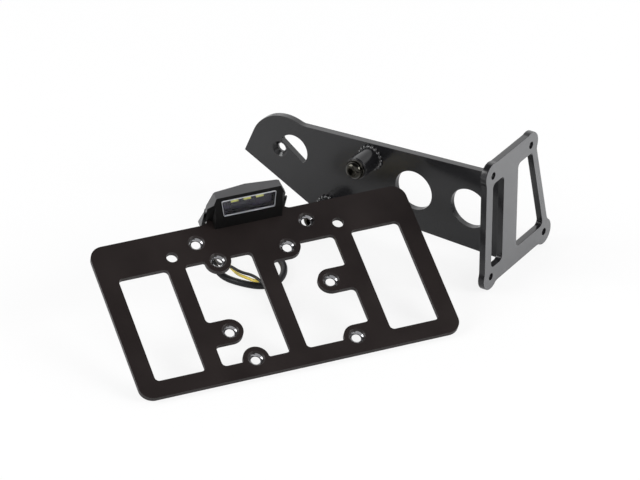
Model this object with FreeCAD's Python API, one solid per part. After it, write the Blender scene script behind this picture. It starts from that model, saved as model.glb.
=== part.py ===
# Side licence plate holder for a motorbike: a welded side arm with an end flange and two screw bosses,
# and the plate base with its lamp, set down beside each other on one surface as an unassembled kit.
# Millimetres, +Z up. The bracket is drawn with its flange face on x = 0, its arm along -X and the lower
# front flange hole on y = z = 0. The plate base is drawn flat, with x across it, y up it and z out of it.
import math
import os

import FreeCAD, Part

V = FreeCAD.Vector

# Hole pattern shared by the flange and the plate base
pattern_short = 41.8
pattern_long = 60.0
pattern_height = 66.5

# End flange
flange_thickness = 4.0
flange_thread_bore = 4.2
lobe_radius = 8.0
lobe_blend = 6.0
margin_front = 7.0
margin_base = 5.5
margin_slope = 5.2
margin_top = 7.4
window_margin = 5.6
window_corner = 3.0
rib_center = 20.0
rib_width = 15.8

# Side arm
arm_thickness = 4.0
arm_tip_x = -182.0
arm_tip_z = 18.8
end_round_x = -152.4
end_round_z = 24.6
end_round_radius = 25.0
top_edge_at_flange = 55.9
top_edge_rise = 0.0636
top_blend = 14.0
bottom_edge_at_flange = 1.2
bottom_edge_rise = -0.025
foot_x = -122.4
foot_z = -2.0
foot_radius = 8.2
foot_blend = 6.0
round_hole_diameter = 24.8
round_hole_z = 28.0
round_hole_xs = (-63.9, -26.2)
half_moon_x = -147.3
half_moon_z = 29.0
half_moon_radius = 9.8
half_moon_flat = -1.6
half_moon_angle = 54.1
half_moon_corner = 1.2
tip_hole_x = -157.0
tip_hole_z = 26.9
weld_leg = 2.4
weld_throat = 0.62

# Screw bosses with washers and button head screws
boss_diameter = 13.4
boss_length = 16.0
boss_chamfer = 0.6
upper_boss_x = -93.2
upper_boss_z = 41.1
screw_diameter = 6.0
screw_clearance = 0.2
screw_length = 12.0
washer_diameter = 12.0
washer_bore = 6.4
washer_thickness = 1.6
head_diameter = 10.5
head_height = 3.3
head_rim = 0.8
head_flat_diameter = 5.4
head_crown_diameter = 9.0
head_crown_height = 2.4
socket_width = 4.0
socket_depth = 2.0

# Countersunk holes for flat head screws
sunk_bore = 5.4
sunk_mouth = 9.8
sunk_depth = 2.2

# Plate base
plate_thickness = 3.0
plate_height = 101.7
plate_corner = 8.0
bar_width = 10.0
edge_bar = 10.8
outer_cut_width = 29.2
inner_cut_width = 40.0
bottom_band = 10.0
window_rise = 1.2
cut_corner = 2.6
lobe_root = 1.0
hole_lobe_radius = 7.5
pattern_left = 25.3
pattern_row = 10.8
turned_left = 33.6
turned_drop = 10.3
plain_hole_diameter = 6.6
plain_hole_spacing = 100.0
plain_hole_drop = 16.3
tab_width = 45.0
tab_rise = 11.3
tab_corner = 3.0
tab_blend = 4.4

# Where the two halves of the kit stand
plate_lean = 27.3
plate_turn = 54.5
plate_right = -44.6
plate_front = -126.2

# Plate lamp: rises up the plate base, reaches out of its front face
lamp_drop = 4.4
lamp_lip_rise = 2.0
lamp_lip_reach = 7.2
lamp_front_rise = 6.1
lamp_front_reach = 11.7
lamp_top_rise = 7.1
lamp_top_setback = 1.3
lamp_back_rise = 8.7
lamp_half_width = 23.6
lamp_waist_half_width = 20.2
lamp_waist_drop = 9.7
lamp_flank_drop = 6.9
lamp_shoulder_drop = 4.5
lamp_top_half_width = 18.6
lamp_top_drop = 1.8
lamp_nose_half_width = 19.4
lamp_side_reach = 10.0
lug_width = 2.5
lug_rise = 3.7
lug_front_height = 1.0
lug_back_height = 5.0
lug_front_reach = 6.0
lug_back_reach = 6.0
lens_width = 33.0
lens_low_width = 30.6
lens_height = 9.8
lens_thickness = 2.2
lens_proud = 0.8
lens_corner = 0.8
lens_from_lip = 5.9
pocket_depth = 5.4
lamp_fit = 0.15
reflector_wall = 0.8
board_thickness = 1.0
led_length = 4.4
led_width = 2.0
led_height = 1.2
led_count = 3
led_pitch = 7.6
led_offset = 2.4
lamp_screw_diameter = 4.0
lamp_screw_spacing = 28.0
lamp_screw_rise = 0.3
lamp_screw_grip = 3.8
lamp_washer_diameter = 9.0
lamp_washer_thickness = 0.8
lamp_head_diameter = 7.0
lamp_head_height = 2.6
lamp_head_round = 0.9
grommet_diameter = 9.0
grommet_neck = 6.4
grommet_lip = 1.4
grommet_round = 0.6
grommet_x = -4.0
grommet_rise = 0.7

# Lamp lead: a black sleeve with a yellow and a black wire, which hang from the grommet to the surface.
# The points are across the plate base, back from its lower edge, and up from the surface it stands on.
sleeve_diameter = 4.0
sleeve_exit_run = 7.0
wire_diameter = 1.8
wire_pitch = 1.9
yellow_first_run = 6.0
black_first_run = 7.6
connector_diameter = 4.2
connector_length = 18.0
connector_neck_diameter = 3.1
connector_tip_diameter = 2.4
connector_sleeve_diameter = 2.6
connector_taper = 3.0
connector_body = 13.0
connector_shoulder = 14.0
connector_round = 0.6
sleeve_way = [
    (-10.2, 104.6, 27.5),
    (-14.0, 110.0, 19.0),
    (-14.4, 110.6, 12.0),
    (-12.3, 108.2, 5.8),
    (-8.6, 103.6, 2.1),
    (-0.6, 93.4, 2.1),
    (7.4, 87.0, 2.1),
    (16.4, 87.4, 2.1),
    (23.6, 94.2, 2.1),
    (27.8, 104.5, 2.1),
    (27.6, 116.0, 2.1),
    (22.6, 126.0, 2.1),
]
yellow_way = [
    (12.4, 135.4, 1.3),
    (4.2, 135.4, 1.0),
    (-1.8, 129.0, 1.0),
    (-2.6, 118.0, 1.0),
    (-0.9, 106.5, 1.0),
    (2.4, 97.4, 1.0),
    (7.4, 92.0, 1.2),
    (13.0, 93.4, 2.4),
    (15.6, 100.0, 2.4),
]
black_way = [
    (12.0, 140.0, 1.3),
    (2.2, 140.8, 1.0),
    (-5.8, 134.0, 1.0),
    (-7.2, 122.0, 1.2),
    (-5.4, 110.5, 2.8),
    (-2.8, 101.0, 5.6),
    (2.0, 89.2, 5.8),
    (7.2, 81.2, 4.4),
    (10.2, 74.8, 2.4),
    (9.6, 67.6, 2.4),
]
# How far cutters run past the faces that they cut
past = 1.0

plate_width = 2 * edge_bar + 3 * bar_width + 2 * outer_cut_width + 2 * inner_cut_width
plate_left = -plate_width / 2.0
cut_low = bottom_band
cut_high = pattern_row + pattern_height + window_rise
turned_row = plate_height - turned_drop
plain_hole_row = plate_height - plain_hole_drop
tab_top = plate_height + tab_rise
grommet_row = plate_height + grommet_rise
lamp_screw_row = plate_height + lamp_screw_rise
lamp_bottom = plate_height - lamp_drop
lamp_lip_height = lamp_bottom + lamp_lip_rise
lamp_nose_height = lamp_lip_height + lamp_front_rise
lamp_nose_reach = lamp_lip_reach + lamp_front_reach
lamp_top_height = lamp_nose_height + lamp_top_rise
lug_low = plate_height + lug_rise
arm_front = rib_center - arm_thickness / 2.0
arm_back = rib_center + arm_thickness / 2.0
arm_root = -flange_thickness
pattern_corners = [
    (0.0, 0.0),
    (pattern_long, 0.0),
    (pattern_short, pattern_height),
    (0.0, pattern_height),
]


def rounded_outline(corners):
    """Closed wire through (x, y, radius) corners in the XY plane, with tangent arcs at the corners."""
    count = len(corners)
    edges = []
    last = None
    first = None
    for i in range(count):
        here = V(corners[i][0], corners[i][1], 0)
        back = V(corners[i - 1][0], corners[i - 1][1], 0) - here
        ahead = V(corners[(i + 1) % count][0], corners[(i + 1) % count][1], 0) - here
        radius = corners[i][2]
        back.normalize()
        ahead.normalize()
        opening = back.getAngle(ahead)
        reach = radius / math.tan(opening / 2.0)
        start = here + back * reach
        end = here + ahead * reach
        if last is not None and start.distanceToPoint(last) > 1e-6:
            edges.append(Part.makeLine(last, start))
        if radius > 0:
            middle_way = back + ahead
            middle_way.normalize()
            middle = here + middle_way * (radius / math.sin(opening / 2.0) - radius)
            edges.append(Part.Arc(start, middle, end).toShape())
        first = start if first is None else first
        last = end
    if last.distanceToPoint(first) > 1e-6:
        edges.append(Part.makeLine(last, first))
    return Part.Wire(edges)


def prism(wire, bottom, top):
    face = Part.Face(wire)
    face.translate(V(0, 0, bottom))
    return face.extrude(V(0, 0, top - bottom))


def stand_along_y(shape):
    """Turn a shape drawn on XY so that its y goes up along Z and its thickness runs along +Y."""
    shape.rotate(V(0, 0, 0), V(1, 0, 0), 90)
    return shape.mirror(V(0, 0, 0), V(0, 1, 0))


def stand_along_x(shape):
    """Turn a shape drawn on XY so that its x runs along Y, its y up Z and its thickness along +X."""
    shape.rotate(V(0, 0, 0), V(1, 1, 1), 120)
    return shape


def sunk_cutter(x, y, top, bottom):
    """Bore with a conical mouth in the face at height top."""
    bore = Part.makeCylinder(sunk_bore / 2.0, top - bottom + 2.0 * past, V(x, y, bottom - past))
    mouth = Part.makeCone(sunk_bore / 2.0, sunk_mouth / 2.0, sunk_depth, V(x, y, top - sunk_depth))
    return bore.fuse(mouth)


def lobed_outline(centers, margins):
    """Outline round a ring of holes: an arc at each hole and set-in straight sides blended to the arcs."""
    count = len(centers)
    spans = []
    for i in range(count):
        a = V(centers[i][0], centers[i][1], 0)
        b = V(centers[(i + 1) % count][0], centers[(i + 1) % count][1], 0)
        along = b - a
        length = along.Length
        along.normalize()
        out = V(along.y, -along.x, 0)
        offset = margins[i] + lobe_blend
        reach = math.sqrt((lobe_radius + lobe_blend) ** 2 - offset ** 2)
        leave = a + along * reach + out * offset
        arrive = b - along * reach + out * offset
        spans.append((a, b, along, out, reach, length, leave, arrive, margins[i]))
    edges = []
    for i in range(count):
        a, b, along, out, reach, length, leave, arrive, margin = spans[i]
        incoming = spans[i - 1]
        lobe_in = a + (incoming[7] - a).normalize() * lobe_radius
        lobe_out = a + (leave - a).normalize() * lobe_radius
        outward = (incoming[3] + out).normalize()
        edges.append(Part.Arc(lobe_in, a + outward * lobe_radius, lobe_out).toShape())
        line_start = a + along * reach + out * margin
        line_end = b - along * reach + out * margin
        edges.append(blend_arc(leave, lobe_out, line_start))
        edges.append(Part.makeLine(line_start, line_end))
        next_lobe = b + (arrive - b).normalize() * lobe_radius
        edges.append(blend_arc(arrive, line_end, next_lobe))
    return Part.Wire(edges)


def blend_arc(center, start, end):
    middle = ((start - center).normalize() + (end - center).normalize()).normalize()
    radius = start.distanceToPoint(center)
    return Part.Arc(start, center + middle * radius, end).toShape()


def tangent_touch(point, center, radius, side):
    """Where the tangent from a point meets a circle, on the left (+1) or right (-1) of the way to it."""
    way = center - point
    distance = way.Length
    swing = side * math.asin(radius / distance)
    reach = math.sqrt(distance ** 2 - radius ** 2)
    heading = math.atan2(way.y, way.x) + swing
    return point + V(math.cos(heading), math.sin(heading), 0) * reach


def line_circle(height, rise, center, radius, side):
    """Crossing of the line y = height + rise * x with a circle, the one further along side * x."""
    a = 1.0 + rise ** 2
    b = 2.0 * (rise * (height - center.y) - center.x)
    c = center.x ** 2 + (height - center.y) ** 2 - radius ** 2
    x = (-b + side * math.sqrt(b * b - 4.0 * a * c)) / (2.0 * a)
    return V(x, height + rise * x, 0)


def fillet_upright(solid, point, radius):
    """Fillet the edge of a flat solid that stands at a point of its outline."""
    for edge in solid.Edges:
        ends = [vertex.Point for vertex in edge.Vertexes]
        near = all(math.hypot(p.x - point.x, p.y - point.y) < 1e-4 for p in ends)
        if near and len(ends) == 2:
            return solid.makeFillet(radius, [edge])
    raise ValueError("no upright edge at the blend")


def make_arm():
    tip = V(arm_tip_x, arm_tip_z, 0)
    end_center = V(end_round_x, end_round_z, 0)
    foot_center = V(foot_x, foot_z, 0)
    top_height = top_edge_at_flange - top_edge_rise * arm_root
    bottom_height = bottom_edge_at_flange - bottom_edge_rise * arm_root
    top_root = V(arm_root, top_edge_at_flange, 0)
    bottom_root = V(arm_root, bottom_edge_at_flange, 0)
    round_leave = line_circle(top_height, top_edge_rise, end_center, end_round_radius, 1)
    round_touch = tangent_touch(tip, end_center, end_round_radius, 1)
    foot_touch = tangent_touch(tip, foot_center, foot_radius, -1)
    foot_leave = line_circle(bottom_height, bottom_edge_rise, foot_center, foot_radius, 1)
    round_top = end_center + V(-0.5, 1.0, 0).normalize() * end_round_radius
    foot_bottom = foot_center + V(0.3, -1.0, 0).normalize() * foot_radius
    edges = [
        Part.makeLine(top_root, round_leave),
        Part.Arc(round_leave, round_top, round_touch).toShape(),
        Part.makeLine(round_touch, tip),
        Part.makeLine(tip, foot_touch),
        Part.Arc(foot_touch, foot_bottom, foot_leave).toShape(),
        Part.makeLine(foot_leave, bottom_root),
        Part.makeLine(bottom_root, top_root),
    ]
    blank = prism(Part.Wire(edges), 0.0, arm_thickness)
    blank = fillet_upright(blank, round_leave, top_blend)
    blank = fillet_upright(blank, foot_leave, foot_blend)
    cutters = []
    depth = arm_thickness + 2.0 * past
    for x in round_hole_xs:
        cutters.append(Part.makeCylinder(round_hole_diameter / 2.0, depth, V(x, round_hole_z, -past)))
    cutters.append(half_moon_cutter())
    sunk = sunk_cutter(tip_hole_x, tip_hole_z, arm_thickness, 0.0)
    sunk = sunk.mirror(V(0, 0, arm_thickness / 2.0), V(0, 0, 1))
    cutters.append(sunk)
    arm = stand_along_y(blank.cut(cutters))
    arm.translate(V(0, arm_front, 0))
    return arm


def half_moon_cutter():
    """Round hole closed off by a flat on its lower left side, with rounded corners."""
    half = math.sqrt(half_moon_radius ** 2 - half_moon_flat ** 2)
    start = V(half_moon_flat, -half, 0)
    end = V(half_moon_flat, half, 0)
    edges = [Part.makeLine(end, start), Part.Arc(start, V(half_moon_radius, 0, 0), end).toShape()]
    cutter = prism(Part.Wire(edges), -past, arm_thickness + past)
    cutter = fillet_upright(cutter, start, half_moon_corner)
    cutter = fillet_upright(cutter, end, half_moon_corner)
    cutter.rotate(V(0, 0, 0), V(0, 0, 1), half_moon_angle)
    cutter.translate(V(half_moon_x, half_moon_z, 0))
    return cutter


def make_flange():
    margins = (margin_base, margin_slope, margin_top, margin_front)
    blank = prism(lobed_outline(pattern_corners, margins), -flange_thickness, 0.0)
    low = window_margin
    high = pattern_height - window_margin
    slope = (pattern_long - pattern_short) / pattern_height
    rib_left = rib_center - rib_width / 2.0
    rib_right = rib_center + rib_width / 2.0
    left_window = [
        (0.0, low, window_corner),
        (rib_left, low, window_corner),
        (rib_left, high, window_corner),
        (0.0, high, window_corner),
    ]
    right_window = [
        (rib_right, low, window_corner),
        (pattern_long - slope * low, low, window_corner),
        (pattern_long - slope * high, high, window_corner),
        (rib_right, high, window_corner),
    ]
    deep = -flange_thickness - past
    cutters = [prism(rounded_outline(w), deep, past) for w in (left_window, right_window)]
    for y, z in pattern_corners:
        cutters.append(Part.makeCylinder(flange_thread_bore / 2.0, past - deep, V(y, z, deep)))
    return stand_along_x(blank.cut(cutters))


def make_flange_welds():
    """A fillet weld up each side of the arm, in the corner that it makes with the flange."""
    welds = []
    low = bottom_edge_at_flange + weld_leg
    high = top_edge_at_flange - weld_leg
    for face, side in ((arm_front, -1.0), (arm_back, 1.0)):
        corner = V(arm_root, face, low)
        along_arm = V(arm_root - weld_leg, face, low)
        along_flange = V(arm_root, face + side * weld_leg, low)
        wire = Part.makePolygon([corner, along_arm, along_flange, corner])
        welds.append(Part.Face(wire).extrude(V(0, 0, high - low)))
    return Part.makeCompound(welds)


def revolve_to_front(points, x, y, z):
    """Solid of revolution from (radius, reach) points, with the reach going from y towards the viewer."""
    wire = Part.makePolygon([V(r, -reach, 0) for r, reach in points + points[:1]])
    solid = Part.Face(wire).revolve(V(0, 0, 0), V(0, 1, 0), 360)
    solid.translate(V(x, y, z))
    return solid


def make_boss(x, z):
    radius = boss_diameter / 2.0
    bore = screw_diameter / 2.0 + screw_clearance / 2.0
    points = [
        (bore, 0.0),
        (radius, 0.0),
        (radius, boss_length - boss_chamfer),
        (radius - boss_chamfer, boss_length),
        (bore, boss_length),
    ]
    return revolve_to_front(points, x, arm_front, z)


def make_boss_weld(x, z):
    radius = boss_diameter / 2.0
    leg = min(weld_leg, foot_radius - radius)
    throat = weld_throat * leg
    points = [(radius, 0.0), (radius + leg, 0.0), (radius + throat, throat), (radius, leg)]
    return revolve_to_front(points, x, arm_front, z)


def make_washer(x, z):
    points = [
        (washer_bore / 2.0, 0.0),
        (washer_diameter / 2.0, 0.0),
        (washer_diameter / 2.0, washer_thickness),
        (washer_bore / 2.0, washer_thickness),
    ]
    return revolve_to_front(points, x, arm_front - boss_length, z)


def make_screw(x, z):
    seat = arm_front - boss_length - washer_thickness
    radius = head_diameter / 2.0
    dome_top = V(head_flat_diameter / 2.0, -head_height, 0)
    dome_start = V(radius, -head_rim, 0)
    dome_middle = V(head_crown_diameter / 2.0, -head_crown_height, 0)
    shank = screw_diameter / 2.0
    edges = [
        Part.makeLine(V(0, screw_length, 0), V(shank, screw_length, 0)),
        Part.makeLine(V(shank, screw_length, 0), V(shank, 0, 0)),
        Part.makeLine(V(shank, 0, 0), V(radius, 0, 0)),
        Part.makeLine(V(radius, 0, 0), dome_start),
        Part.Arc(dome_start, dome_middle, dome_top).toShape(),
        Part.makeLine(dome_top, V(0, -head_height, 0)),
        Part.makeLine(V(0, -head_height, 0), V(0, screw_length, 0)),
    ]
    solid = Part.Face(Part.Wire(edges)).revolve(V(0, 0, 0), V(0, 1, 0), 360)
    across = socket_width / math.sqrt(3.0)
    corners = [V(across * math.cos(math.radians(60 * i)), across * math.sin(math.radians(60 * i)), 0)
               for i in range(7)]
    socket = Part.Face(Part.makePolygon(corners)).extrude(V(0, 0, socket_depth + past))
    socket.rotate(V(0, 0, 0), V(1, 0, 0), 90)
    socket.translate(V(0, socket_depth - head_height, 0))
    solid = solid.cut(socket)
    solid.translate(V(x, seat, z))
    return solid


def pattern_holes():
    """Countersunk holes of both patterns: upright, and turned a quarter so that the plate can turn too."""
    left = -pattern_left
    top = pattern_row + pattern_height
    upright = [
        (left, top),
        (left + pattern_short, top),
        (left, pattern_row),
        (left + pattern_long, pattern_row),
    ]
    turned = [
        (-turned_left, turned_row),
        (-turned_left + pattern_height, turned_row),
        (-turned_left + pattern_height, turned_row - pattern_short),
        (-turned_left, turned_row - pattern_long),
    ]
    return upright, turned


def cut_outlines():
    """The four openings of the plate base, with the round lobes that carry screw holes left standing."""
    upright, turned = pattern_holes()
    r = hole_lobe_radius
    c = cut_corner
    k = lobe_root
    outlines = []
    for left in (plate_left + edge_bar, -plate_left - edge_bar - outer_cut_width):
        right = left + outer_cut_width
        outlines.append([
            (left, cut_low, c), (right, cut_low, c), (right, cut_high, c), (left, cut_high, c),
        ])
    left = -bar_width / 2.0 - inner_cut_width
    right = -bar_width / 2.0
    low_x = upright[2][0]
    low_y = upright[2][1] + r
    high_x = upright[0][0]
    high_y = upright[0][1] - r
    side_x = turned[3][0] + r
    side_y = turned[3][1]
    outlines.append([
        (left, cut_low, c), (low_x - r, cut_low, k), (low_x - r, low_y, r), (low_x + r, low_y, r),
        (low_x + r, cut_low, k), (right, cut_low, c), (right, cut_high, c), (high_x + r, cut_high, k),
        (high_x + r, high_y, r), (high_x - r, high_y, r), (high_x - r, cut_high, k), (left, cut_high, c),
        (left, side_y + r, c), (side_x, side_y + r, r), (side_x, side_y - r, r), (left, side_y - r, c),
    ])
    left = bar_width / 2.0
    right = bar_width / 2.0 + inner_cut_width
    low_x = upright[3][0] - r
    low_y = upright[3][1] + r
    high_x = upright[1][0] + r
    high_y = upright[1][1] - r
    side_x = turned[2][0] - r
    side_y = turned[2][1]
    outlines.append([
        (left, cut_low, c), (low_x, cut_low, k), (low_x, low_y, r), (right, low_y, c),
        (right, side_y - r, c), (side_x, side_y - r, r), (side_x, side_y + r, r), (right, side_y + r, c),
        (right, cut_high, c), (high_x, cut_high, k), (high_x, high_y, r), (left, high_y, c),
    ])
    return outlines


def make_plate():
    half_tab = tab_width / 2.0
    outline = [
        (plate_left, 0.0, plate_corner),
        (-plate_left, 0.0, plate_corner),
        (-plate_left, plate_height, plate_corner),
        (half_tab, plate_height, tab_blend),
        (half_tab, tab_top, tab_corner),
        (-half_tab, tab_top, tab_corner),
        (-half_tab, plate_height, tab_blend),
        (plate_left, plate_height, plate_corner),
    ]
    blank = prism(rounded_outline(outline), 0.0, plate_thickness)
    cutters = [prism(rounded_outline(o), -past, plate_thickness + past) for o in cut_outlines()]
    upright, turned = pattern_holes()
    for x, y in upright + turned:
        cutters.append(sunk_cutter(x, y, plate_thickness, 0.0))
    depth = plate_thickness + 2.0 * past
    for x in (-plain_hole_spacing / 2.0, plain_hole_spacing / 2.0):
        cutters.append(Part.makeCylinder(plain_hole_diameter / 2.0, depth, V(x, plain_hole_row, -past)))
    for x, y in lamp_screw_places():
        hole = lamp_screw_diameter / 2.0 + lamp_fit
        cutters.append(Part.makeCylinder(hole, depth, V(x, y, -past)))
    cutters.append(Part.makeCylinder(grommet_neck / 2.0, depth, V(grommet_x, grommet_row, -past)))
    return blank.cut(cutters)


def lamp_screw_places():
    return [(-lamp_screw_spacing / 2.0, lamp_screw_row), (lamp_screw_spacing / 2.0, lamp_screw_row)]


def lens_frame(shape):
    """Place a shape drawn on the lens plane, z out of the lens, on the lamp's slanted front."""
    along = V(0, lamp_front_rise, lamp_front_reach).normalize()
    tilt = math.degrees(math.atan2(lamp_front_reach, lamp_front_rise))
    shape.rotate(V(0, 0, 0), V(1, 0, 0), tilt)
    shape.translate(V(0, lamp_lip_height, plate_thickness + lamp_lip_reach) + along * lens_from_lip)
    return shape


def lens_block(grow, bottom, top):
    half = lens_width / 2.0 + grow
    low = lens_low_width / 2.0 + grow
    tall = lens_height / 2.0 + grow
    corner = lens_corner + max(grow, 0.0)
    outline = [(-low, -tall, corner), (low, -tall, corner), (half, tall, corner), (-half, tall, corner)]
    return prism(rounded_outline(outline), bottom, top)


def make_lamp_housing():
    """Moulded body: a side profile narrowed by a front view and a plan, with a pocket for the optics."""
    front = plate_thickness
    wide = 2.0 * lamp_half_width
    profile = [
        (lamp_bottom, front),
        (lamp_lip_height, front + lamp_lip_reach),
        (lamp_nose_height, front + lamp_nose_reach),
        (lamp_top_height, front + lamp_nose_reach - lamp_top_setback),
        (lamp_bottom + lamp_back_rise, front),
    ]
    points = [V(-lamp_half_width, y, z) for y, z in profile + profile[:1]]
    body = Part.Face(Part.makePolygon(points)).extrude(V(wide, 0, 0))
    half_view = [
        (lamp_waist_half_width, lamp_bottom - past),
        (lamp_waist_half_width, lamp_top_height - lamp_waist_drop),
        (lamp_half_width, lamp_top_height - lamp_flank_drop),
        (lamp_half_width, lamp_top_height - lamp_shoulder_drop),
        (lamp_top_half_width, lamp_top_height - lamp_top_drop),
        (0.0, lamp_top_height),
    ]
    mirrored = [(-x, y) for x, y in reversed(half_view[:-1])]
    view_points = [V(x, y, front - past) for x, y in half_view + mirrored + half_view[:1]]
    view_depth = lamp_nose_reach + 2.0 * past
    body = body.common(Part.Face(Part.makePolygon(view_points)).extrude(V(0, 0, view_depth)))
    plan = [
        (lamp_half_width, front - past),
        (lamp_half_width, front + lamp_side_reach),
        (lamp_nose_half_width, front + lamp_nose_reach),
        (-lamp_nose_half_width, front + lamp_nose_reach),
        (-lamp_half_width, front + lamp_side_reach),
        (-lamp_half_width, front - past),
    ]
    plan_points = [V(x, lamp_bottom - past, z) for x, z in plan + plan[:1]]
    plan_depth = lamp_top_height - lamp_bottom + 2.0 * past
    body = body.common(Part.Face(Part.makePolygon(plan_points)).extrude(V(0, plan_depth, 0)))
    body = body.fuse([lamp_lug(1.0), lamp_lug(-1.0)]).removeSplitter()
    cutters = [lens_frame(lens_block(lamp_fit, -pocket_depth, pocket_depth))]
    hole = lamp_screw_diameter / 2.0 + lamp_fit
    for x, y in lamp_screw_places():
        cutters.append(Part.makeCylinder(hole, lamp_screw_grip + 2.0 * past, V(x, y, front - past)))
    return body.cut(cutters)


def lamp_lug(side):
    """Lug on one flank of the lamp that reaches back past the edge of the tab."""
    inner = side * (tab_width / 2.0 + lamp_fit)
    front = plate_thickness + lug_front_reach
    profile = [
        (lug_low, front),
        (lug_low + lug_front_height, front),
        (lug_low + lug_back_height, -lug_back_reach),
        (lug_low, -lug_back_reach),
    ]
    points = [V(inner, y, z) for y, z in profile + profile[:1]]
    return Part.Face(Part.makePolygon(points)).extrude(V(side * lug_width, 0, 0))


def make_lens():
    return lens_frame(lens_block(0.0, lens_proud - lens_thickness, lens_proud))


def make_reflector():
    top = lens_proud - lens_thickness
    bottom = -pocket_depth + board_thickness
    inside = lens_block(-reflector_wall, bottom - past, top + past)
    return lens_frame(lens_block(0.0, bottom, top).cut(inside))


def make_board():
    return lens_frame(lens_block(0.0, -pocket_depth, -pocket_depth + board_thickness))


def make_leds():
    base = -pocket_depth + board_thickness
    chips = []
    for i in range(led_count):
        x = (i - (led_count - 1) / 2.0) * led_pitch - led_length / 2.0
        chip = Part.makeBox(led_length, led_width, led_height, V(x, led_offset - led_width / 2.0, base))
        chips.append(lens_frame(chip))
    return Part.makeCompound(chips)


def make_lamp_screws():
    screws = []
    for x, y in lamp_screw_places():
        seat = -lamp_washer_thickness
        length = plate_thickness + lamp_screw_grip - seat
        shank = Part.makeCylinder(lamp_screw_diameter / 2.0, length, V(x, y, seat))
        end = seat - lamp_head_height
        head = Part.makeCylinder(lamp_head_diameter / 2.0, lamp_head_height, V(x, y, end))
        rim = [edge for edge in head.Edges if abs(edge.BoundBox.ZMax - end) < 1e-6]
        head = head.makeFillet(lamp_head_round, rim)
        screws.append(shank.fuse(head).removeSplitter())
    return Part.makeCompound(screws)


def make_lamp_washers():
    washers = []
    for x, y in lamp_screw_places():
        back = -lamp_washer_thickness
        disc = Part.makeCylinder(lamp_washer_diameter / 2.0, lamp_washer_thickness, V(x, y, back))
        bore = lamp_screw_diameter / 2.0 + lamp_fit
        depth = lamp_washer_thickness + 2.0 * past
        washers.append(disc.cut(Part.makeCylinder(bore, depth, V(x, y, back - past))))
    return Part.makeCompound(washers)


def make_grommet():
    """Rubber bush in the plate base: a neck through the plate and a rounded lip behind it."""
    center = V(grommet_x, grommet_row, 0)
    neck = Part.makeCylinder(grommet_neck / 2.0, plate_thickness, center)
    lip = Part.makeCylinder(grommet_diameter / 2.0, grommet_lip, center - V(0, 0, grommet_lip))
    rim = [edge for edge in lip.Edges if abs(edge.BoundBox.ZMax + grommet_lip) < 1e-6]
    lip = lip.makeFillet(grommet_round, rim)
    return neck.fuse(lip).removeSplitter()


def sleeve_points():
    """Route of the sleeve: square out of the grommet's lip, then its own way down to the surface."""
    lean = FreeCAD.Rotation(V(1, 0, 0), plate_lean)
    start = lean.multVec(V(grommet_x, grommet_row, -grommet_lip))
    second = lean.multVec(V(grommet_x, grommet_row, -grommet_lip - sleeve_exit_run))
    return [tuple(start), tuple(second)] + sleeve_way


def wire_points(side, first_run, way):
    """Route of a wire: it leaves the sleeve's end face beside its neighbour and follows its own way."""
    end = V(*sleeve_way[-1])
    along = (end - V(*sleeve_way[-2])).normalize()
    across = along.cross(V(0, 0, 1)).normalize()
    start = end + across * (side * wire_pitch / 2.0)
    return [tuple(start), tuple(start + along * first_run)] + way


def cord_path(name, points):
    """Straight runs joined by tangent arcs, each as large as its two runs allow."""
    route = [V(*p) for p in points]
    edges = []
    last = route[0]
    radii = []
    for i in range(1, len(route) - 1):
        back = route[i - 1] - route[i]
        ahead = route[i + 1] - route[i]
        reach = 0.45 * min(back.Length, ahead.Length)
        opening = back.getAngle(ahead)
        radius = reach * math.tan(opening / 2.0)
        radii.append(round(radius, 1))
        back.normalize()
        ahead.normalize()
        middle_way = (back + ahead).normalize()
        start = route[i] + back * reach
        end = route[i] + ahead * reach
        middle = route[i] + middle_way * (radius / math.sin(opening / 2.0) - radius)
        edges.append(Part.makeLine(last, start))
        edges.append(Part.Arc(start, middle, end).toShape())
        last = end
    edges.append(Part.makeLine(last, route[-1]))
    path = Part.Wire(edges)
    print(name, "bend radii", radii, "length", round(path.Length, 1))
    return path


def make_cord(name, points, diameter):
    path = cord_path(name, points)
    start = V(*points[0])
    way = V(*points[1]) - start
    section = Part.Wire([Part.makeCircle(diameter / 2.0, start, way)])
    tube = path.makePipeShell([section], True, False)
    expected = math.pi * diameter ** 2 / 4.0 * path.Length
    print(name, "volume", round(tube.Volume, 1), "expected", round(expected, 1))
    return tube


def make_connector(points):
    """Insulated bullet connector on the end of a wire, in line with its last run."""
    end = V(*points[-1])
    way = (end - V(*points[-2])).normalize()
    profile = [
        (0.0, 0.0),
        (connector_sleeve_diameter / 2.0, 0.0),
        (connector_diameter / 2.0, connector_taper),
        (connector_diameter / 2.0, connector_body),
        (connector_neck_diameter / 2.0, connector_shoulder),
        (connector_neck_diameter / 2.0, connector_length - connector_round),
        (connector_tip_diameter / 2.0, connector_length),
        (0.0, connector_length),
    ]
    wire = Part.makePolygon([V(r, 0, reach) for r, reach in profile + profile[:1]])
    solid = Part.Face(wire).revolve(V(0, 0, 0), V(0, 0, 1), 360)
    solid.Placement = FreeCAD.Placement(end, FreeCAD.Rotation(V(0, 0, 1), way))
    return solid


def bracket_nodes():
    places = {"upper": (upper_boss_x, upper_boss_z), "lower": (foot_x, foot_z)}
    nodes = {
        "arm_plate": make_arm(),
        "end_flange": make_flange(),
        "flange_welds": make_flange_welds(),
    }
    for name, (x, z) in places.items():
        nodes[name + "_boss"] = make_boss(x, z)
        nodes[name + "_boss_weld"] = make_boss_weld(x, z)
        nodes[name + "_boss_washer"] = make_washer(x, z)
        nodes[name + "_boss_screw"] = make_screw(x, z)
    return nodes


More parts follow.
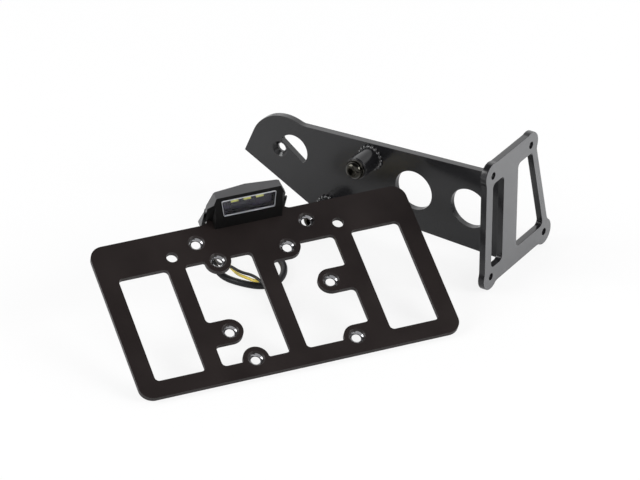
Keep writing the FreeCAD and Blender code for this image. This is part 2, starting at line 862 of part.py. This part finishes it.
def plate_nodes():
    return {
        "base_plate": make_plate(),
        "lamp_housing": make_lamp_housing(),
        "lamp_lens": make_lens(),
        "lamp_reflector": make_reflector(),
        "lamp_board": make_board(),
        "lamp_leds": make_leds(),
        "lamp_screws": make_lamp_screws(),
        "lamp_washers": make_lamp_washers(),
        "lead_grommet": make_grommet(),
    }


def lead_nodes():
    yellow_points = wire_points(-1, yellow_first_run, yellow_way)
    black_points = wire_points(1, black_first_run, black_way)
    return {
        "lead_sleeve": make_cord("lead_sleeve", sleeve_points(), sleeve_diameter),
        "yellow_wire": make_cord("yellow_wire", yellow_points, wire_diameter),
        "black_wire": make_cord("black_wire", black_points, wire_diameter),
        "yellow_connector": make_connector(yellow_points),
        "black_connector": make_connector(black_points),
    }


def bracket_place():
    """Tip the bracket about its flange until the arm's foot and the flange's lobes stand on z = 0."""
    run = math.hypot(foot_x, foot_z)
    tip = math.atan2(-foot_z, -foot_x) + math.asin((foot_radius - lobe_radius) / run)
    return FreeCAD.Placement(V(0, 0, lobe_radius), FreeCAD.Rotation(V(0, 1, 0), math.degrees(tip)))


def surface_place():
    """Turn what lies along the plate base to its place in front of the arm."""
    return FreeCAD.Placement(V(plate_right, plate_front, 0), FreeCAD.Rotation(V(0, 0, 1), plate_turn))


def plate_place():
    """Lean the plate base back on its lower edge, and turn it with what lies along it."""
    lean = FreeCAD.Placement(V(0, 0, 0), FreeCAD.Rotation(V(1, 0, 0), plate_lean))
    return surface_place() * lean


def place_nodes():
    """All nodes in one frame, with the origin under the middle of the rigid pieces."""
    nodes = {}
    box = FreeCAD.BoundBox()
    groups = (
        (bracket_place(), bracket_nodes()),
        (plate_place(), plate_nodes()),
        (surface_place(), lead_nodes()),
    )
    for place, group in groups:
        for name, shape in group.items():
            shape.Placement = place * shape.Placement
            nodes[name] = shape
    for place, group in groups[:2]:
        for shape in group.values():
            box.add(shape.optimalBoundingBox(False))
    middle = V(-box.Center.x, -box.Center.y, 0)
    for shape in nodes.values():
        shape.translate(middle)
    return nodes, middle


def main():
    os.makedirs("parts", exist_ok=True)
    nodes, middle = place_nodes()
    print("origin moved by", middle)
    for name, shape in nodes.items():
        shape.exportStep("parts/" + name + ".step")
        low = round(shape.BoundBox.ZMin, 2)
        print(name, "valid", shape.isValid(), "volume", round(shape.Volume, 1), "z from", low)


main()
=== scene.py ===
import math

import bpy
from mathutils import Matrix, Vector


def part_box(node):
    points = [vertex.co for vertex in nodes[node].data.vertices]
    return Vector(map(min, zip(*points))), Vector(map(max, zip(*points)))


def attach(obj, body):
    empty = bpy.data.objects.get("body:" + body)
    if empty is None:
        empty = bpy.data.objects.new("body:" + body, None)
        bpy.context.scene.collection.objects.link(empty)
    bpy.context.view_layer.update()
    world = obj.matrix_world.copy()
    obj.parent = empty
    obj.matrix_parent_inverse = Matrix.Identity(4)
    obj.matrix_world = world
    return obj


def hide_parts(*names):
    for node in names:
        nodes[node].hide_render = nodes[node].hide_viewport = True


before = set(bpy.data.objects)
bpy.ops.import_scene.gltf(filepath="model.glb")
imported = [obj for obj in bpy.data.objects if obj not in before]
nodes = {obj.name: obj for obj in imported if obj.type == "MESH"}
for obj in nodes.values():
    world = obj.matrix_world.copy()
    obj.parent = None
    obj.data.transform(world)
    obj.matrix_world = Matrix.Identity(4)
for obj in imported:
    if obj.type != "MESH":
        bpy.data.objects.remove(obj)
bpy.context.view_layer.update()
scene = bpy.context.scene
scene.view_settings.view_transform = "Standard"
print("frame loaded:", len(nodes), "nodes")


# camera, at the photograph's viewing angle
photoCamera = {
    "location": (1.0232, -1.5107, 1.1134),
    "turn": (59.503, 0.947, 33.186),  # degrees
    "lens": 210.6,
    "sensor": 36.0,
}


def placeCamera(choice):
    data = bpy.data.cameras.new("photoCamera")
    data.lens = choice["lens"]
    data.sensor_width = choice["sensor"]
    data.clip_start = 0.05
    data.clip_end = 50.0
    camera = bpy.data.objects.new("photoCamera", data)
    scene.collection.objects.link(camera)
    camera.location = choice["location"]
    camera.rotation_euler = [math.radians(angle) for angle in choice["turn"]]
    scene.camera = camera


placeCamera(photoCamera)
print("camera placed")


def selectOnly(piece):
    bpy.ops.object.select_all(action="DESELECT")
    piece.select_set(True)
    bpy.context.view_layer.objects.active = piece


def applyModifier(piece, kind, **settings):
    modifier = piece.modifiers.new(kind.lower(), kind)
    for name, value in settings.items():
        setattr(modifier, name, value)
    selectOnly(piece)
    bpy.ops.object.modifier_apply(modifier=modifier.name)


def settle(piece, slot, *replaced):
    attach(piece, "root")
    if replaced:
        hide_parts(*replaced)


def startMaterial(name, baseColor, roughness, metallic=0.0):
    material = bpy.data.materials.new(name)
    material.use_nodes = True
    shader = material.node_tree.nodes["Principled BSDF"]
    shader.inputs["Base Color"].default_value = (*baseColor, 1.0)
    shader.inputs["Roughness"].default_value = roughness
    shader.inputs["Metallic"].default_value = metallic
    return material, material.node_tree, shader


def noiseNode(tree, scale, detail, stretch=(1.0, 1.0, 1.0)):
    coords = tree.nodes.new("ShaderNodeTexCoord")
    mapping = tree.nodes.new("ShaderNodeMapping")
    mapping.inputs["Scale"].default_value = stretch
    noise = tree.nodes.new("ShaderNodeTexNoise")
    noise.inputs["Scale"].default_value = scale
    noise.inputs["Detail"].default_value = detail
    tree.links.new(coords.outputs["Object"], mapping.inputs["Vector"])
    tree.links.new(mapping.outputs["Vector"], noise.inputs["Vector"])
    return noise


def mottle(tree, shader, noise, low, high):
    ramp = tree.nodes.new("ShaderNodeMapRange")
    ramp.inputs["From Min"].default_value = 0.3
    ramp.inputs["From Max"].default_value = 0.7
    ramp.inputs["To Min"].default_value = low
    ramp.inputs["To Max"].default_value = high
    tree.links.new(noise.outputs["Fac"], ramp.inputs["Value"])
    tree.links.new(ramp.outputs["Result"], shader.inputs["Roughness"])


def tint(tree, shader, noise, dark, light):
    ramp = tree.nodes.new("ShaderNodeValToRGB")
    ramp.color_ramp.elements[0].position = 0.3
    ramp.color_ramp.elements[0].color = (*dark, 1.0)
    ramp.color_ramp.elements[1].position = 0.7
    ramp.color_ramp.elements[1].color = (*light, 1.0)
    tree.links.new(noise.outputs["Fac"], ramp.inputs["Fac"])
    tree.links.new(ramp.outputs["Color"], shader.inputs["Base Color"])


def grain(tree, shader, noise, strength, distance):
    bump = tree.nodes.new("ShaderNodeBump")
    bump.inputs["Strength"].default_value = strength
    bump.inputs["Distance"].default_value = distance
    tree.links.new(noise.outputs["Fac"], bump.inputs["Height"])
    tree.links.new(bump.outputs["Normal"], shader.inputs["Normal"])


def makeCoating(name, dark, light, smooth, rough, peel, shine=0.5):
    material, tree, shader = startMaterial(name, light, rough)
    shader.inputs["Specular IOR Level"].default_value = shine
    broad = noiseNode(tree, 35.0, 3.0)
    fine = noiseNode(tree, 1400.0, 2.0)
    tint(tree, shader, broad, dark, light)
    mottle(tree, shader, broad, smooth, rough)
    grain(tree, shader, fine, peel, 0.0001)
    return material


def makeMetal(name, dark, light, smooth, rough):
    material, tree, shader = startMaterial(name, light, rough, 1.0)
    broad = noiseNode(tree, 260.0, 4.0)
    turned = noiseNode(tree, 900.0, 2.0, (1.0, 6.0, 1.0))
    tint(tree, shader, broad, dark, light)
    mottle(tree, shader, broad, smooth, rough)
    grain(tree, shader, turned, 0.08, 0.0001)
    return material


# lamp lead: a sleeve out of the lamp that splits into two wires with their own connectors
leadLook = {
    "sleeve": ((0.010, 0.010, 0.011), (0.016, 0.016, 0.017)),
    "black": ((0.010, 0.010, 0.010), (0.018, 0.018, 0.018)),
    "yellow": ((0.74, 0.56, 0.07), (0.84, 0.66, 0.12)),
    "smooth": 0.28,
    "rough": 0.40,
    "blackShine": 0.25,  # the black vinyl mirrors less of the floor
}
vinylGloss = (leadLook["smooth"], leadLook["rough"])
sleeveVinyl = makeCoating("sleeveVinyl", *leadLook["sleeve"], *vinylGloss, 0.06, leadLook["blackShine"])
blackVinyl = makeCoating("blackWireVinyl", *leadLook["black"], *vinylGloss, 0.05, leadLook["blackShine"])
yellowVinyl = makeCoating("yellowWireVinyl", *leadLook["yellow"], *vinylGloss, 0.05)

leadSleeve = {
    "node": "lead_sleeve", "slot": "sleeve_black", "finish": sleeveVinyl,
    "diameter": 0.004, "length": 0.1294, "farEnd": "bare", "ends": [],
    "points": [
        (-0.03505, -0.00954, 0.04572), (-0.03766, -0.00767, 0.03950), (-0.04920, -0.00706, 0.02750),
        (-0.05580, -0.00702, 0.01900), (-0.05652, -0.00699, 0.01200), (-0.05335, -0.00668, 0.00580),
        (-0.04746, -0.00634, 0.00210), (-0.03451, -0.00575, 0.00210), (-0.02465, -0.00295, 0.00210),
        (-0.01975, 0.00461, 0.00210), (-0.02111, 0.01442, 0.00210), (-0.02705, 0.02382, 0.00210),
        (-0.03653, 0.03034, 0.00210), (-0.04758, 0.03207, 0.00210),
    ],
}
yellowWire = {
    "node": "yellow_wire", "slot": "wire_yellow", "finish": yellowVinyl,
    "diameter": 0.0018, "length": 0.0816, "farEnd": "connector", "ends": ["yellow_connector"],
    "points": [
        (-0.04772, 0.03113, 0.00210), (-0.05365, 0.03207, 0.00210), (-0.05900, 0.02870, 0.00130),
        (-0.06210, 0.02240, 0.00100), (-0.06080, 0.01470, 0.00100), (-0.05450, 0.00760, 0.00100),
        (-0.04480, 0.00200, 0.00140), (-0.03650, -0.00230, 0.00430), (-0.02820, -0.00430, 0.00525),
        (-0.02420, -0.00060, 0.00530), (-0.02661, 0.00533, 0.00240), (-0.03047, 0.01128, 0.00240),
    ],
}
blackWire = {
    "node": "black_wire", "slot": "wire_black", "finish": blackVinyl,
    "diameter": 0.0018, "length": 0.1078, "farEnd": "connector", "ends": ["black_connector"],
    "points": [
        (-0.04743, 0.03301, 0.00210), (-0.05494, 0.03419, 0.00210), (-0.06513, 0.03157, 0.00130),
        (-0.07147, 0.02406, 0.00100), (-0.07058, 0.01360, 0.00100), (-0.06162, 0.00549, 0.00120),
        (-0.05150, 0.00330, 0.00480), (-0.04200, 0.00080, 0.00430), (-0.03050, -0.00240, 0.00760),
        (-0.02000, -0.00630, 0.00640), (-0.01309, -0.00775, 0.00240), (-0.00758, -0.01242, 0.00240),
    ],
}


def layCord(name, choice):
    curve = bpy.data.curves.new(name, "CURVE")
    curve.dimensions = "3D"
    curve.bevel_depth = choice["diameter"] / 2.0
    curve.bevel_resolution = 6
    curve.resolution_u = 10
    curve.use_fill_caps = True
    spline = curve.splines.new("NURBS")
    spline.points.add(len(choice["points"]) - 1)
    for control, point in zip(spline.points, choice["points"]):
        control.co = (*point, 1.0)
    spline.order_u = 3
    spline.use_endpoint_u = True
    cord = bpy.data.objects.new(name, curve)
    scene.collection.objects.link(cord)
    cord.data.materials.append(choice["finish"])
    settle(cord, choice["slot"], choice["node"])


layCord("leadSleeve", leadSleeve)
layCord("yellowWire", yellowWire)
layCord("blackWire", blackWire)
print("lead laid: 3 cords")


# cuts the leaning faces in two at a depth under the front, and gives the test for the deeper ones
def splitFaces(piece, choice):
    across = choice["across"]
    front = max((vertex.co for vertex in piece.data.vertices), key=lambda corner: corner.dot(across))
    cut = front - across * choice["splitDepth"]
    bpy.ops.object.mode_set(mode="EDIT")
    bpy.ops.mesh.select_mode(type="FACE")
    bpy.ops.mesh.select_all(action="DESELECT")
    bpy.ops.object.mode_set(mode="OBJECT")
    for face in piece.data.polygons:
        face.select = choice["leans"](face)
    bpy.ops.object.mode_set(mode="EDIT")
    bpy.ops.mesh.bisect(plane_co=cut, plane_no=across)
    bpy.ops.object.mode_set(mode="OBJECT")
    return lambda face: choice["leans"](face) and (face.center - cut).dot(across) < 0.0


# edge rounding that every pressed, turned or moulded piece shares
def roundEdges(name, choice):
    piece = bpy.data.objects.new(name, nodes[choice["node"]].data.copy())
    scene.collection.objects.link(piece)
    piece.data.materials.clear()
    piece.data.materials.append(choice["finish"])
    selectOnly(piece)
    bpy.ops.mesh.customdata_custom_splitnormals_clear()
    bpy.ops.object.mode_set(mode="EDIT")
    bpy.ops.mesh.select_all(action="SELECT")
    bpy.ops.mesh.remove_doubles(threshold=0.000002)
    bpy.ops.mesh.dissolve_limited(angle_limit=math.radians(0.6))
    bpy.ops.object.mode_set(mode="OBJECT")
    if "accent" in choice:  # a second finish on the faces the test picks
        picks = splitFaces(piece, choice) if "splitDepth" in choice else choice["picks"]
        piece.data.materials.append(choice["accent"])
        for face in piece.data.polygons:
            face.material_index = int(picks(face))
    applyModifier(piece, "BEVEL", width=choice["edge"], segments=2, limit_method="ANGLE",
                  angle_limit=math.radians(32), miter_outer="MITER_ARC", harden_normals=False)
    selectOnly(piece)
    bpy.ops.object.shade_smooth_by_angle(angle=math.radians(40))
    applyModifier(piece, "WEIGHTED_NORMAL", keep_sharp=True, weight=90)
    settle(piece, choice["slot"], choice["node"])
    return piece


def mainNormal(node):
    return max(nodes[node].data.polygons, key=lambda face: face.area).normal.copy()


def boxOf(node):
    low, high = (Vector(corner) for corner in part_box(node))
    return low, high, (low + high) / 2.0


# bracket
armGloss = makeCoating("armGlossBlack", (0.009, 0.009, 0.010), (0.012, 0.012, 0.013), 0.16, 0.21, 0.02)
bossGloss = makeCoating("bossGlossBlack", (0.007, 0.007, 0.008), (0.010, 0.010, 0.011), 0.14, 0.20, 0.02, 0.3)
# the flange's flat face: a grey copy of the black bracket paint, painted light standing in for the lamp light
# falling on that face
flangeFacePaintedLight = makeCoating("flangeFacePaintedLightGrey", (0.092, 0.093, 0.096), (0.104, 0.105, 0.108), 0.16, 0.22, 0.03)

armSheet = {"node": "arm_plate", "slot": "bracket_paint", "finish": armGloss, "edge": 0.00035}
endFlange = {
    "node": "end_flange", "slot": "bracket_paint", "finish": armGloss, "edge": 0.00035,
    "accent": flangeFacePaintedLight,
    # the flat that meets the plate gets the painted-light grey
    "picks": lambda face: face.normal.x > 0.9,  # the flat that meets the plate
}
upperBoss = {"node": "upper_boss", "slot": "bracket_paint", "finish": bossGloss, "edge": 0.00015}
lowerBoss = {"node": "lower_boss", "slot": "bracket_paint", "finish": bossGloss, "edge": 0.00015}
roundEdges("armSheet", armSheet)
roundEdges("endFlange", endFlange)
roundEdges("upperBoss", upperBoss)
roundEdges("lowerBoss", lowerBoss)
print("bracket rounded")


# weld beads: one bead, copied along the joint and melted together
beadGloss = makeCoating("weldBeadBlack", (0.014, 0.014, 0.015), (0.024, 0.024, 0.025), 0.08, 0.14, 0.05, 1.0)
upperBead = {  # sunk and inset are in bead radii
    "node": "upper_boss_weld", "slot": "bracket_paint",
    "beads": 18, "radius": 0.0016, "flat": 0.72, "sunk": 0.3, "inset": 0.9,
}
lowerBead = {**upperBead, "node": "lower_boss_weld"}
flangeBead = {  # endGap is in strides
    "node": "flange_welds", "slot": "bracket_paint",
    "beads": 30, "radius": 0.0017, "flat": 0.72, "inset": 0.45, "endGap": 0.4,
}


def startBead(choice, place):
    bpy.ops.object.select_all(action="DESELECT")
    bpy.ops.mesh.primitive_uv_sphere_add(segments=14, ring_count=10, radius=choice["radius"], location=place)
    bead = bpy.context.object
    bpy.ops.object.transform_apply(location=True, rotation=False, scale=False)
    bpy.ops.object.mode_set(mode="EDIT")
    bpy.ops.mesh.select_all(action="SELECT")
    bpy.ops.transform.resize(value=(1.0, 1.0, choice["flat"]), center_override=place)
    return bead


def meltBeads(name, bead, choice):
    bead.name = name
    applyModifier(bead, "REMESH", mode="VOXEL", voxel_size=choice["radius"] / 7.0)
    applyModifier(bead, "SMOOTH", factor=0.5, iterations=2)
    selectOnly(bead)
    bpy.ops.object.shade_smooth()
    bead.data.materials.append(beadGloss)
    settle(bead, choice["slot"], choice["node"])


def ringBead(name, choice):
    low, high, middle = boxOf(choice["node"])
    foot = high.y - choice["sunk"] * choice["radius"]
    reach = (high.x - low.x) / 2.0 - choice["inset"] * choice["radius"]
    bead = startBead(choice, (middle.x + reach, foot, middle.z))
    copies = choice["beads"] - 1
    bpy.ops.mesh.spin(steps=copies, dupli=True, angle=2.0 * math.pi * copies / choice["beads"],
                      center=(middle.x, foot, middle.z), axis=(0.0, 1.0, 0.0))
    bpy.ops.object.mode_set(mode="OBJECT")
    meltBeads(name, bead, choice)


def rowBead(name, choice):
    middle = boxOf(choice["node"])[2]
    corners = [vertex.co.copy() for vertex in nodes[choice["node"]].data.vertices]
    rows = []
    for side in (-1.0, 1.0):  # front and back of the arm
        near = [corner for corner in corners if (corner.y - middle.y) * side > 0.0]
        near.sort(key=lambda corner: corner.x - side * corner.y)  # the joint's own corners come last
        bottom = [corner for corner in near if corner.z < middle.z][-1]
        top = [corner for corner in near if corner.z > middle.z][-1]
        stride = (top - bottom) / (choice["beads"] - 1.0 + 2.0 * choice["endGap"])
        offset = Vector((-choice["inset"], choice["inset"] * side, 0.0)) * choice["radius"]
        bead = startBead(choice, tuple(bottom + offset + choice["endGap"] * stride))
        bpy.ops.object.mode_set(mode="OBJECT")
        applyModifier(bead, "ARRAY", count=choice["beads"], use_relative_offset=False,
                      use_constant_offset=True, constant_offset_displace=stride)
        rows.append(bead)
    selectOnly(rows[0])
    rows[1].select_set(True)
    bpy.ops.object.join()
    meltBeads(name, rows[0], choice)


ringBead("upperBead", upperBead)
ringBead("lowerBead", lowerBead)
rowBead("flangeBead", flangeBead)
print("weld beads laid")


# screws and washers on the bosses
screwOxide = makeMetal("screwBlackOxide", (0.034, 0.033, 0.028), (0.056, 0.054, 0.046), 0.08, 0.16)
washerOxide = makeMetal("washerBlackOxide", (0.024, 0.023, 0.020), (0.042, 0.040, 0.035), 0.14, 0.24)
upperScrew = {"node": "upper_boss_screw", "slot": "screw_steel", "finish": screwOxide, "edge": 0.00015}
lowerScrew = {"node": "lower_boss_screw", "slot": "screw_steel", "finish": screwOxide, "edge": 0.00015}
upperWasher = {"node": "upper_boss_washer", "slot": "washer_steel", "finish": washerOxide, "edge": 0.00020}
lowerWasher = {"node": "lower_boss_washer", "slot": "washer_steel", "finish": washerOxide, "edge": 0.00020}
roundEdges("upperScrew", upperScrew)
roundEdges("lowerScrew", lowerScrew)
roundEdges("upperWasher", upperWasher)
roundEdges("lowerWasher", lowerWasher)
print("boss screws rounded")


# plate base, with bright countersinks
plateSatin = makeCoating("plateSatinBlack", (0.0125, 0.0092, 0.0088), (0.0165, 0.0122, 0.0115),
                         0.34, 0.42, 0.12, 0.25)
sinkGloss = makeMetal("countersinkBright", (0.26, 0.26, 0.27), (0.36, 0.36, 0.37), 0.08, 0.16)
plateNormal = mainNormal("base_plate")
if plateNormal.z < 0.0:
    plateNormal.negate()
baseSheet = {
    "node": "base_plate", "slot": "plate_black", "finish": plateSatin, "edge": 0.00028,
    "accent": sinkGloss, "across": plateNormal,
    "splitDepth": 0.0011,  # the coating reaches this far down the cone
    "leans": lambda face: 0.3 < abs(face.normal.dot(plateNormal)) < 0.95,  # only cone walls lean
}
roundEdges("baseSheet", baseSheet)
print("plate base rounded")


# plate lamp
# one black plastic in two copies: the front and underside are partly the plastic's own black and partly
# painted shade; the roof and upper cheeks are a lighter copy, painted light
lampFrontPaintedShade = makeCoating("lampFrontPaintedShadeBlack", (0.0028, 0.0026, 0.0026), (0.0042, 0.0040, 0.0040),
                        0.40, 0.50, 0.10, 0.1)
lampRoofPaintedLight = makeCoating("lampRoofPaintedLightBlack", (0.064, 0.064, 0.066), (0.078, 0.078, 0.080), 0.34, 0.44, 0.10)
trayChrome = makeMetal("lampTrayDarkChrome", (0.008, 0.007, 0.012), (0.020, 0.017, 0.028), 0.10, 0.18)
# the window's cut edge painted near-white: a painted highlight on the clear lens rim
windowEdgePaintedHighlight = makeCoating("lampWindowEdgePaintedHighlight", (0.70, 0.71, 0.74), (0.80, 0.81, 0.84), 0.14, 0.22, 0.02)
boardLacquer = makeCoating("lampBoardDark", (0.003, 0.002, 0.008), (0.012, 0.008, 0.026), 0.22, 0.34, 0.05)
chipPhosphor = makeCoating("lightChipYellow", (0.58, 0.56, 0.11), (0.72, 0.72, 0.24), 0.25, 0.35, 0.02)
grommetRubber = makeCoating("grommetRubber", (0.012, 0.012, 0.012), (0.020, 0.020, 0.020), 0.55, 0.70, 0.20)


def makeWindowClear():
    material, tree, shader = startMaterial("lampWindowClear", (0.93, 0.94, 0.96), 0.03)
    shader.inputs["Transmission Weight"].default_value = 1.0
    shader.inputs["IOR"].default_value = 1.2
    ripple = noiseNode(tree, 220.0, 1.0)
    grain(tree, shader, ripple, 0.02, 0.0002)
    return material


windowClear = makeWindowClear()
plateUp = (Vector((0.0, 0.0, 1.0)) - plateNormal * plateNormal.z).normalized()
windowNormal = mainNormal("lamp_lens")
windowMiddle = boxOf("lamp_lens")[2]


def onPaintedLightRoof(face):  # roof and upper cheeks, painted lighter: painted light on the housing's black plastic
    return face.normal.dot(plateUp) > -0.3 and (face.center - windowMiddle).dot(plateUp) > 0.0


lampShell = {
    "node": "lamp_housing", "slot": "lamp_black", "finish": lampFrontPaintedShade, "edge": 0.0005,
    "accent": lampRoofPaintedLight, "picks": onPaintedLightRoof,
}
lampWindow = {
    "node": "lamp_lens", "slot": "lens_clear", "finish": windowClear, "edge": 0.0003,
    "accent": windowEdgePaintedHighlight,
    "picks": lambda face: abs(face.normal.dot(windowNormal)) < 0.6,  # the cut edge, painted near-white as a painted highlight
}
lampScrews = {"node": "lamp_screws", "slot": "screw_steel", "finish": screwOxide, "edge": 0.00015}
lampWashers = {"node": "lamp_washers", "slot": "washer_steel", "finish": washerOxide, "edge": 0.00012}
roundEdges("lampShell", lampShell)
roundEdges("lampWindow", lampWindow)
roundEdges("lampScrews", lampScrews)
roundEdges("lampWashers", lampWashers)

keptNodes = {  # small pieces whose solids are already the finished form
    "lamp_reflector": trayChrome,
    "lamp_board": boardLacquer,
    "lamp_leds": chipPhosphor,
    "lead_grommet": grommetRubber,
    "yellow_connector": yellowVinyl,
    "black_connector": blackVinyl,
}
for name, finish in keptNodes.items():
    nodes[name].data.materials.clear()
    nodes[name].data.materials.append(finish)
print("lamp finished")


# floor, light and surroundings
studioFloor = {"size": 8.0, "color": (0.90, 0.90, 0.90), "seenWhite": 0.84, "mirroredWhite": 0.15}


def layFloor(choice):
    bpy.ops.object.select_all(action="DESELECT")
    bpy.ops.mesh.primitive_plane_add(size=choice["size"], location=(0.0, 0.0, -0.0004))
    floor = bpy.context.object
    floor.name = "studioFloor"
    material, tree, shader = startMaterial("floorPale", choice["color"], 0.9)
    shader.inputs["Specular IOR Level"].default_value = 0.0
    white = tree.nodes.new("ShaderNodeEmission")
    white.inputs["Strength"].default_value = 1.0
    path = tree.nodes.new("ShaderNodeLightPath")
    shares = []
    for ray, share in (("Is Camera Ray", "seenWhite"), ("Is Glossy Ray", "mirroredWhite"),
                       ("Is Transmission Ray", "seenWhite")):
        part = tree.nodes.new("ShaderNodeMath")
        part.operation = "MULTIPLY"
        part.inputs[1].default_value = choice[share]
        tree.links.new(path.outputs[ray], part.inputs[0])
        shares.append(part.outputs["Value"])
    while len(shares) > 1:  # the largest of the three
        most = tree.nodes.new("ShaderNodeMath")
        most.operation = "MAXIMUM"
        tree.links.new(shares.pop(), most.inputs[0])
        tree.links.new(shares.pop(), most.inputs[1])
        shares.append(most.outputs["Value"])
    mix = tree.nodes.new("ShaderNodeMixShader")
    tree.links.new(shares[0], mix.inputs["Fac"])
    tree.links.new(shader.outputs["BSDF"], mix.inputs[1])
    tree.links.new(white.outputs["Emission"], mix.inputs[2])
    tree.links.new(mix.outputs["Shader"], tree.nodes["Material Output"].inputs["Surface"])
    floor.data.materials.append(material)


leftBox = {"place": (-1.1, -0.9, 0.9), "aim": (0.0, 0.0, 0.03), "size": (1.0, 1.0), "power": 16.0}
rightBox = {"place": (1.5, 0.25, 0.75), "aim": (0.05, 0.05, 0.03), "size": (0.9, 0.9), "power": 22.0}
backBox = {"place": (-0.3, 1.5, 1.1), "aim": (0.0, 0.0, 0.03), "size": (3.2, 1.6), "power": 11.0}


def hangLamp(name, choice):
    light = bpy.data.lights.new(name, "AREA")
    light.shape = "RECTANGLE"
    light.size, light.size_y = choice["size"]
    light.energy = choice["power"]
    lamp = bpy.data.objects.new(name, light)
    scene.collection.objects.link(lamp)
    lamp.location = choice["place"]
    ray = Vector(choice["aim"]) - Vector(choice["place"])
    lamp.rotation_euler = ray.to_track_quat("-Z", "Y").to_euler()


surroundings = {
    "horizon": (0.85, 0.85, 0.86), "bandTop": 0.58,  # pale up to this height
    "zenith": (0.10, 0.10, 0.105), "zenithFrom": 0.82,
    "gapFrom": 0.80, "gapTo": 0.90, "gapLight": 0.08,  # the dark opening of the light tent, on the right
}


def paintSurroundings(choice):
    world = bpy.data.worlds.new("studioWorld")
    scene.world = world
    world.use_nodes = True
    tree = world.node_tree
    coords = tree.nodes.new("ShaderNodeTexCoord")
    split = tree.nodes.new("ShaderNodeSeparateXYZ")
    ramp = tree.nodes.new("ShaderNodeValToRGB")
    ramp.color_ramp.elements[0].position = choice["bandTop"]
    ramp.color_ramp.elements[0].color = (*choice["horizon"], 1.0)
    ramp.color_ramp.elements[1].position = choice["zenithFrom"]
    ramp.color_ramp.elements[1].color = (*choice["zenith"], 1.0)
    tree.links.new(coords.outputs["Generated"], split.inputs["Vector"])
    gap = tree.nodes.new("ShaderNodeMapRange")
    gap.inputs["From Min"].default_value = choice["gapFrom"]
    gap.inputs["From Max"].default_value = choice["gapTo"]
    gap.inputs["To Min"].default_value = 1.0
    gap.inputs["To Max"].default_value = choice["gapLight"]
    tree.links.new(split.outputs["X"], gap.inputs["Value"])
    tree.links.new(gap.outputs["Result"], tree.nodes["Background"].inputs["Strength"])
    tree.links.new(split.outputs["Z"], ramp.inputs["Fac"])
    tree.links.new(ramp.outputs["Color"], tree.nodes["Background"].inputs["Color"])


layFloor(studioFloor)
hangLamp("leftBox", leftBox)
hangLamp("rightBox", rightBox)
hangLamp("backBox", backBox)
paintSurroundings(surroundings)
print("studio set")
